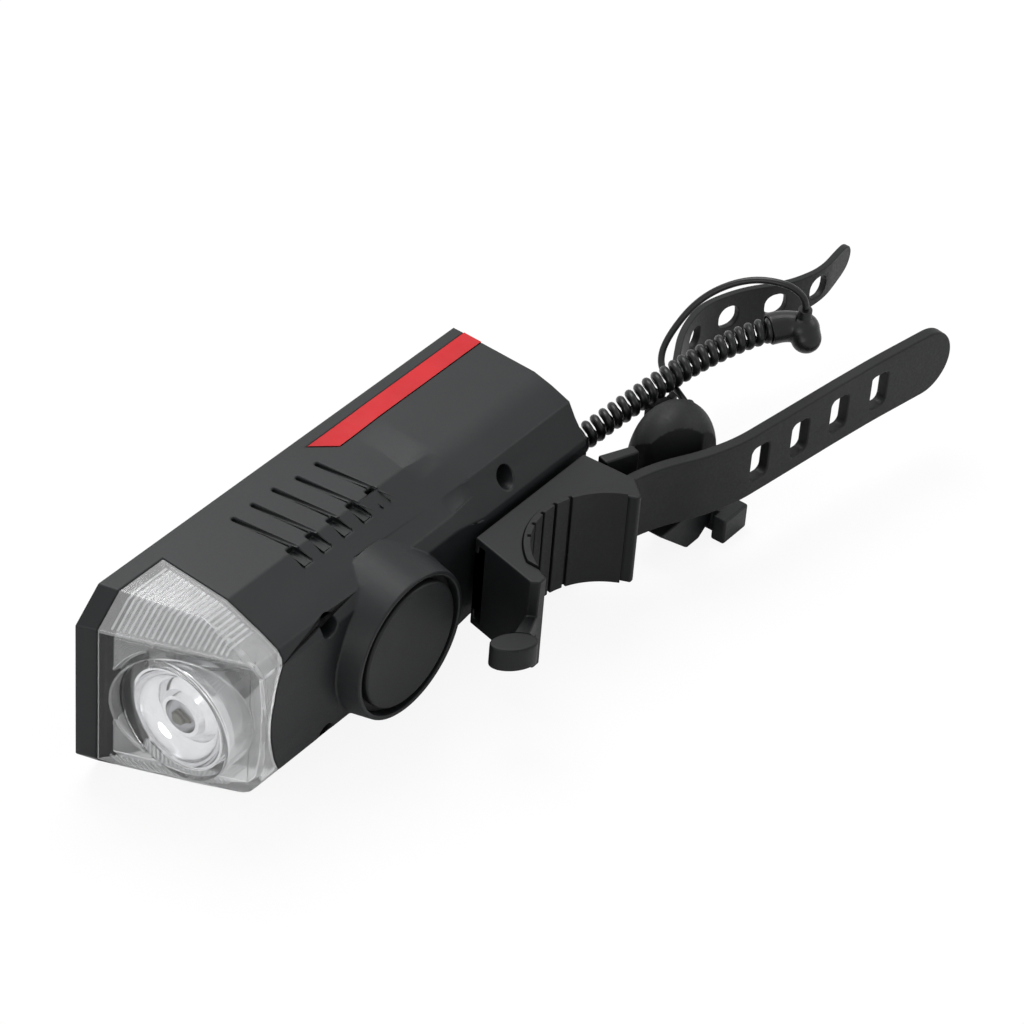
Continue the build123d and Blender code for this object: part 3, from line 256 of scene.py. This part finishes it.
finishes = {}
for maker, plans in (
    (mouldedPlastic, plasticPlans), (metal, metalPlans), (clearPlastic, clearPlans),
):
    for name, plan in plans.items():
        finishes[name] = maker(name, plan)
print("materials made", len(finishes))

# Makers that several pieces share


def finished(obj, body, replaced=()):
    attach(obj, body)
    if replaced:
        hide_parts(*replaced)
    return obj


def pieceFrom(bm, name, material, crease):
    mesh = bpy.data.meshes.new(name)
    bm.to_mesh(mesh)
    bm.free()
    for face in mesh.polygons:
        face.use_smooth = True
    mesh.set_sharp_from_angle(angle=math.radians(crease))
    mesh.materials.append(material)
    obj = bpy.data.objects.new(name, mesh)
    bpy.context.scene.collection.objects.link(obj)
    return obj


def bodyOf(nodeName):
    return nodes[nodeName]["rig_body"]


mouldPlan = {
    "weld": 0.002,  # corners this near to each other are one
    "flat": 0.6,  # degrees up to which faces are joined
    "edge": 0.4,  # rounding of a hard edge
    "segments": 3,
    "sharp": 28,  # degrees from which an edge is rounded
    "crease": 30,  # degrees from which it is shaded as an edge
}


def copyOf(nodeName):
    bm = bmesh.new()
    bm.from_mesh(nodes[nodeName].data)
    bmesh.ops.remove_doubles(bm, verts=bm.verts, dist=mouldPlan["weld"] * mm)
    return bm


def moulded(nodeName, ownPlan):
    # A copy of a CAD node whose hard edges are rounded as a mould leaves them
    plan = {**mouldPlan, **ownPlan}
    bm = copyOf(nodeName)
    flat = math.radians(plan["flat"])
    sharp = math.radians(plan["sharp"])
    bmesh.ops.dissolve_limit(bm, angle_limit=flat, verts=bm.verts, edges=bm.edges)
    hard = [e for e in bm.edges if len(e.link_faces) == 2 and e.calc_face_angle(0) > sharp]
    bmesh.ops.bevel(
        bm, geom=hard, offset=plan["edge"] * mm, segments=plan["segments"], profile=0.5,
        affect="EDGES", clamp_overlap=False, material=-1, loop_slide=True,
    )
    obj = pieceFrom(bm, plan["piece"], finishes[plan["finish"]], plan["crease"])
    weighted = obj.modifiers.new("evenNormals", "WEIGHTED_NORMAL")
    weighted.keep_sharp = True
    return finished(obj, bodyOf(nodeName), [nodeName])


def splineFrom(name, points, resolution):
    curve = bpy.data.curves.new(name, "CURVE")
    curve.dimensions = "3D"
    curve.resolution_u = resolution
    spline = curve.splines.new("NURBS")
    spline.points.add(len(points) - 1)
    for target, place in zip(spline.points, points):
        target.co = (*place, 1)
    spline.order_u = 3
    spline.use_endpoint_u = True
    obj = bpy.data.objects.new(name, curve)
    bpy.context.scene.collection.objects.link(obj)
    return obj


def cordFrom(name, points, plan):
    cord = splineFrom(name, points, plan["resolution"])
    cord.data.bevel_depth = plan["wire"] * mm
    cord.data.bevel_resolution = plan["sides"]
    cord.data.use_fill_caps = True
    cord.data.materials.append(finishes["cordRubber"])
    return finished(cord, "light", [plan["node"]])


# Camera, then the cords

cameraPlan = {
    "place": (355.07, -535.87, 532.0), "turn": (51.0922, -3.6242, 37.2685),
    "lens": 148.9, "sensor": 36, "nearest": 0.01,
}


def makeCamera(plan):
    data = bpy.data.cameras.new("camera")
    data.lens = plan["lens"]
    data.sensor_width = plan["sensor"]
    data.clip_start = plan["nearest"]
    camera = bpy.data.objects.new("camera", data)
    camera.location = Vector(plan["place"]) * mm
    camera.rotation_euler = Euler([math.radians(angle) for angle in plan["turn"]])
    bpy.context.scene.collection.objects.link(camera)
    bpy.context.scene.camera = camera


makeCamera(cameraPlan)

coilPlan = {
    "node": "curly_cord",
    "route": [
        (24.5, 113.0, 0.0), (26.8, 121.5, 2.9), (29.8, 129.6, 6.5), (33.2, 140.5, 10.3),
        (36.9, 150.0, 12.8), (40.4, 156.9, 14.2), (43.1, 160.9, 14.8), (45.7, 162.8, 15.0),
    ],
    "wire": 0.88,  # half the wire's thickness
    "radius": 1.85,  # from the coil's middle to the wire's middle
    "turns": 23,
    "ramp": 0.075,  # share of the route over which the coil opens out
    "turnIn": 0.075,  # share over which the turning sets in
    "straight": 0.028,  # share that stays straight at each end
    "pointsPerTurn": 16,
    "lineResolution": 24,
    "resolution": 3,
    "sides": 4,
}


def linePoints(points, resolution):
    # Points along the smooth line that a route's spline makes
    probe = splineFrom("routeProbe", points, resolution)
    bpy.context.view_layer.update()
    line = bpy.data.meshes.new_from_object(probe)
    found = [vertex.co.copy() for vertex in line.vertices]
    bpy.data.objects.remove(probe)
    bpy.data.meshes.remove(line)
    return found


def ease(value):
    held = min(1.0, max(0.0, value))
    return held * held * (3 - 2 * held)


def easedRun(value, reach):
    part = min(1.0, max(0.0, value / reach))
    return reach * (part**3 - part**4 / 2) + max(0.0, value - reach)


def coilPoints(plan):
    line = linePoints([spot(*point) for point in plan["route"]], plan["lineResolution"])
    steps = [0.0]
    for before, here in zip(line, line[1:]):
        steps.append(steps[-1] + (here - before).length)
    count = plan["turns"] * plan["pointsPerTurn"]
    turnIn = plan["turnIn"]
    wound = 1 - 2 * plan["straight"]
    up = Vector((0, 0, 1))
    index = 0
    found = []
    for number in range(count + 1):
        share = number / count
        target = share * steps[-1]
        while index < len(steps) - 2 and steps[index + 1] < target:
            index += 1
        part = (target - steps[index]) / (steps[index + 1] - steps[index])
        middle = line[index].lerp(line[index + 1], part)
        ahead = (line[index + 1] - line[index]).normalized()
        sideways = ahead.cross(up).normalized()
        inside = share - plan["straight"]
        run = easedRun(inside, turnIn) - easedRun(inside - wound + turnIn, turnIn)
        angle = math.tau * plan["turns"] * (run / (wound - turnIn))
        opened = ease(inside / plan["ramp"]) * ease((wound - inside) / plan["ramp"])
        outward = sideways * math.cos(angle) + sideways.cross(ahead) * math.sin(angle)
        found.append(middle + outward * plan["radius"] * opened * mm)
    return found


leadPlan = {
    "node": "lead_wire",
    "route": [
        (47.3, 162.9, 20.2), (47.4, 162.75, 22.8), (43.4, 161.3, 25.5), (35.6, 158.1, 24.6),
        (28.8, 152.6, 19.6), (26.2, 146.0, 11.8), (27.6, 142.2, 8.0), (32.2, 140.6, 6.4),
        (38.6, 136.6, 6.9),
    ],
    "wire": 0.7,
    "resolution": 12,
    "sides": 5,
}
bootPlan = {
    "piece": "cordBoot", "finish": "cordRubber", "slot": "black_rubber",
    "edge": 0.15, "segments": 2, "sharp": 35, "crease": 60,
}

curlyCord = cordFrom("curlyCord", coilPoints(coilPlan), coilPlan)
leadWire = cordFrom("leadWire", [spot(*point) for point in leadPlan["route"]], leadPlan)
cordBoot = moulded("cord_boot", bootPlan)
print("cords laid")

# Housing, bracket, straps and lens

mouldedPlans = {
    "main_housing": {
        "piece": "housingShell", "finish": "blackPlastic", "slot": "black_plastic",
        "edge": 0.35, "sharp": 15,
    },
    "solar_frame": {
        "piece": "solarFrame", "finish": "silverPlastic", "slot": "silver_plastic", "edge": 0.35,
    },
    "bracket_body": {
        "piece": "bracketBody", "finish": "bracketPlastic", "slot": "black_plastic", "edge": 0.35,
    },
    "release_latch": {
        "piece": "releaseLatch", "finish": "bracketPlastic", "slot": "black_plastic",
    },
    "saddle_pad": {
        "piece": "saddlePad", "finish": "blackRubber", "slot": "black_rubber",
        "edge": 0.15, "segments": 2,
    },
    "ladder_strap": {"piece": "ladderStrap", "finish": "blackRubber", "slot": "black_rubber"},
    "remote_strap": {
        "piece": "remoteStrap", "finish": "blackRubber", "slot": "black_rubber", "edge": 0.3,
    },
    "remote_housing": {
        "piece": "remoteHousing", "finish": "blackRubber", "slot": "black_plastic",
        "edge": 0.3, "segments": 2, "sharp": 70, "crease": 50,
    },
    "remote_foot": {
        "piece": "remoteFoot", "finish": "blackPlastic", "slot": "black_plastic", "edge": 0.5,
    },
    "usb_flap": {
        "piece": "chargingFlap", "finish": "blackRubber", "slot": "black_rubber", "edge": 0.3,
    },
    "cord_gland": {
        "piece": "cordGland", "finish": "blackRubber", "slot": "black_rubber", "edge": 0.3,
    },
    "front_lens": {"piece": "frontLens", "finish": "lensFrosted", "slot": "clear_plastic"},
}
windowPlan = {"middle": 19.0, "radius": 12.7, "front": 4.9, "rear": 7.4}


def clearWindow(obj, plan):
    # The round window in the collar is clear, the rest of the lens is frosted
    obj.data.materials.append(finishes["lensClear"])
    centre = spot(plan["middle"], 0, 0)
    for face in obj.data.polygons:
        off = face.center - centre
        nearAxis = math.hypot(off.x, off.z) < plan["radius"] * mm
        if nearAxis and plan["front"] * mm < off.y < plan["rear"] * mm:
            face.material_index = 1


shells = {nodeName: moulded(nodeName, plan) for nodeName, plan in mouldedPlans.items()}
clearWindow(shells["front_lens"], windowPlan)
print("housing, bracket, straps and lens dressed", len(shells))

lensRibPlan = {
    "first": 5.4, "pitch": 1.0, "count": 21, "width": 0.5, "height": 0.45, "crease": 20,
    "wall": 1.8, "rear": 18.8, "slope": 0.405, "frontHalf": 15.4, "chamferRun": 6.2,
    "startLean": 0.7, "cornerLean": 0.4,
    "flank": [(0.0, 21.4), (19.095, 19.945), (23.115, 18.404), (27.604, 16.692)],
}


def flankHalf(plan, x):
    for (lowX, lowHalf), (highX, highHalf) in zip(plan["flank"], plan["flank"][1:]):
        if x <= highX:
            return lowHalf + (highHalf - lowHalf) * (x - lowX) / (highX - lowX)
    return plan["flank"][-1][1]


def ribPath(plan, x):
    # A rib runs up the chamfer's inner side, turns its corner and runs back along the flank
    rise = plan["flank"][0][1] - plan["frontHalf"]
    slant = math.hypot(rise, plan["chamferRun"])
    front = plan["slope"] * x
    lineY = front + plan["wall"] * rise / slant
    lineZ = plan["frontHalf"] - plan["wall"] * plan["chamferRun"] / slant
    startY = front + plan["wall"] * math.hypot(1, plan["slope"])
    startZ = lineZ + (startY - lineY) * rise / plan["chamferRun"]
    topZ = flankHalf(plan, x) - plan["wall"]
    cornerY = lineY + (topZ - lineZ) * plan["chamferRun"] / rise
    return [
        (startY, startZ, plan["startLean"]), (cornerY, topZ, plan["cornerLean"]),
        (plan["rear"], topZ, 0.0),
    ]


def makeLensRibs(plan):
    # Prisms on the inside of both flanks and chamfers, which spread the light
    bm = bmesh.new()
    reach = plan["width"] / 2
    height = plan["height"]
    for number in range(plan["count"]):
        x = plan["first"] + plan["pitch"] * number
        for side in (1, -1):
            sections = []
            for y, z, lean in ribPath(plan, x):
                ridge = spot(x, y + height * lean, side * (z - height))
                foot = [spot(x - reach, y, side * z), spot(x + reach, y, side * z)]
                sections.append([*foot, ridge])
            end = bm.faces.new([bm.verts.new(place) for place in sections[0]])
            for section in sections[1:]:
                grown = bmesh.ops.extrude_face_region(bm, geom=[end, *end.edges])["geom"]
                end = next(item for item in grown if isinstance(item, bmesh.types.BMFace))
                for corner, place in zip(end.verts, section):
                    corner.co = place
    bmesh.ops.recalc_face_normals(bm, faces=bm.faces)
    ribs = pieceFrom(bm, "lensRibs", finishes["ribFrosted"], plan["crease"])
    finished(ribs, "light")


makeLensRibs(lensRibPlan)
print("lens ribs made")

# Solar panel

cellLinePlan = {
    "start": 32.0, "length": 66.0, "half": 15.1, "cells": 6, "gap": 0.8, "fingers": 4,
    "fingerWidth": 0.2, "fingerEnd": 0.3, "barPlaces": (-8.0, 8.0), "barWidth": 1.0,
    "top": -0.03, "bottom": 0.02, "crease": 30,
}


def makeCellLines(plan):
    # Printed lines of the cells: thin fingers, and bars that gather their current
    bm = bmesh.new()
    cell = (plan["length"] - plan["gap"] * (plan["cells"] + 1)) / plan["cells"]
    step = cell / plan["fingers"]
    fingerLength = 2 * (plan["half"] - plan["fingerEnd"])
    depth = plan["bottom"] - plan["top"]
    middle = (plan["bottom"] + plan["top"]) / 2
    for number in range(plan["cells"]):
        start = plan["start"] + plan["gap"] + number * (cell + plan["gap"])
        boxes = [(start + cell / 2, z, cell, plan["barWidth"]) for z in plan["barPlaces"]]
        for finger in range(plan["fingers"]):
            place = start + step * (finger + 0.5)
            boxes.append((place, 0, plan["fingerWidth"], fingerLength))
        for y, z, sizeY, sizeZ in boxes:
            shape = Matrix.Translation(spot(middle, y, z)) @ Matrix.Diagonal(
                (depth * mm, sizeY * mm, sizeZ * mm, 1)
            )
            bmesh.ops.create_cube(bm, size=1, matrix=shape)
    lines = pieceFrom(bm, "cellLines", finishes["busSilver"], plan["crease"])
    finished(lines, "light")


panelGlassPlan = {"backGap": 0.06, "crease": 40}


def makePanelGlass(plan):
    # The cover keeps a hair's breadth off the cells, so that their faces don't coincide
    bm = copyOf("solar_glass")
    middle = sum(vertex.co.x for vertex in bm.verts) / len(bm.verts)
    for vertex in bm.verts:
        if vertex.co.x > middle:
            vertex.co.x -= plan["backGap"] * mm
    glass = pieceFrom(bm, "panelGlass", finishes["panelClear"], plan["crease"])
    finished(glass, bodyOf("solar_glass"), ["solar_glass"])


makeCellLines(cellLinePlan)
makePanelGlass(panelGlassPlan)
print("solar cells printed")

# CAD nodes that keep their shape

plainFinishes = {
    "upper_stripe": "redInlay",
    "lower_stripe": "redInlay",
    "solar_cells": "cellBlue",
    "lens_gasket": "blackRubber",
    "reflector": "brightPlating",
    "led_emitter": "emitterPale",
    "led_board": "boardMetal",
    "heat_sink": "boardMetal",
    "battery": "batteryWrap",
    "main_board": "boardGreen",
    "usb_socket": "socketSteel",
    "mode_button": "blackRubber",
    "mode_switch": "switchPlastic",
    "horn_gasket": "blackRubber",
    "horn_sounder": "sounderBrass",
    "housing_screws": "screwSteel",
    "horn_cover": "hornPlastic",
    "remote_switch": "switchPlastic",
    "remote_key": "blackRubber",
}
for nodeName, finishName in plainFinishes.items():
    nodes[nodeName].data.materials.clear()
    nodes[nodeName].data.materials.append(finishes[finishName])
print("plain nodes finished", len(plainFinishes))

# Floor and light

floorPlan = {
    "size": 3, "below": 0.05, "crease": 40,
    "colour": (0.86, 0.86, 0.86), "roughness": 0.9, "glow": 1.0, "glowShare": 0.9,
}
worldPlan = {"onObject": 0.5, "seen": 1.0}
white = (1, 1, 1, 1)


def mathNode(tree, operation, first, second):
    node = tree.nodes.new("ShaderNodeMath")
    node.operation = operation
    tree.links.new(first, node.inputs[0])
    if isinstance(second, float):
        node.inputs[1].default_value = second
    else:
        tree.links.new(second, node.inputs[1])
    return node.outputs[0]


def rayShare(tree, *kinds):
    # 1 for rays of the kinds named, 0 for all others
    rays = tree.nodes.new("ShaderNodeLightPath")
    share = rays.outputs[kinds[0]]
    for kind in kinds[1:]:
        share = mathNode(tree, "MAXIMUM", share, rays.outputs[kind])
    return share


def paleFloor(plan):
    material, tree, shader = newMaterial("paleFloor")
    shader.inputs["Base Color"].default_value = (*plan["colour"], 1)
    shader.inputs["Roughness"].default_value = plan["roughness"]
    glow = tree.nodes.new("ShaderNodeEmission")
    glow.inputs["Color"].default_value = white
    glow.inputs["Strength"].default_value = plan["glow"]
    seen = rayShare(tree, "Is Camera Ray", "Is Transmission Ray")
    mix = tree.nodes.new("ShaderNodeMixShader")
    tree.links.new(mathNode(tree, "MULTIPLY", seen, plan["glowShare"]), mix.inputs["Fac"])
    tree.links.new(shader.outputs[0], mix.inputs[1])
    tree.links.new(glow.outputs[0], mix.inputs[2])
    tree.links.new(mix.outputs[0], tree.nodes["Material Output"].inputs["Surface"])
    return material


def makeFloor(plan):
    bm = bmesh.new()
    bmesh.ops.create_grid(bm, x_segments=1, y_segments=1, size=plan["size"])
    bmesh.ops.translate(bm, verts=bm.verts, vec=(0, 0, -plan["below"] * mm))
    floor = pieceFrom(bm, "floor", paleFloor(plan), plan["crease"])


def makeWorld(plan):
    world = bpy.data.worlds.new("studio")
    bpy.context.scene.world = world
    world.use_nodes = True
    tree = world.node_tree
    background = tree.nodes["Background"]
    background.inputs["Color"].default_value = white
    seen = rayShare(tree, "Is Camera Ray", "Is Glossy Ray", "Is Transmission Ray")
    level = tree.nodes.new("ShaderNodeMapRange")
    level.inputs["To Min"].default_value = plan["onObject"]
    level.inputs["To Max"].default_value = plan["seen"]
    tree.links.new(seen, level.inputs["Value"])
    tree.links.new(level.outputs["Result"], background.inputs["Strength"])


lampPlans = {
    "keyLamp": {"place": (-0.35, 0.15, 0.8), "size": 0.6, "power": 6.5},
    "frontLamp": {"place": (0.15, -0.85, 0.3), "size": 0.4, "power": 1.6},
    "rearLamp": {"place": (0.4, 0.6, 0.5), "size": 0.4, "power": 1.2},
}


def makeLamp(name, plan):
    data = bpy.data.lights.new(name, "AREA")
    data.shape = "DISK"
    data.size = plan["size"]
    data.energy = plan["power"]
    lamp = bpy.data.objects.new(name, data)
    lamp.location = plan["place"]
    lamp.rotation_euler = (-Vector(plan["place"])).to_track_quat("-Z", "Y").to_euler()
    bpy.context.scene.collection.objects.link(lamp)


makeFloor(floorPlan)
makeWorld(worldPlan)
for name, plan in lampPlans.items():
    makeLamp(name, plan)
bpy.context.scene.view_settings.view_transform = "Standard"
print("stage set")
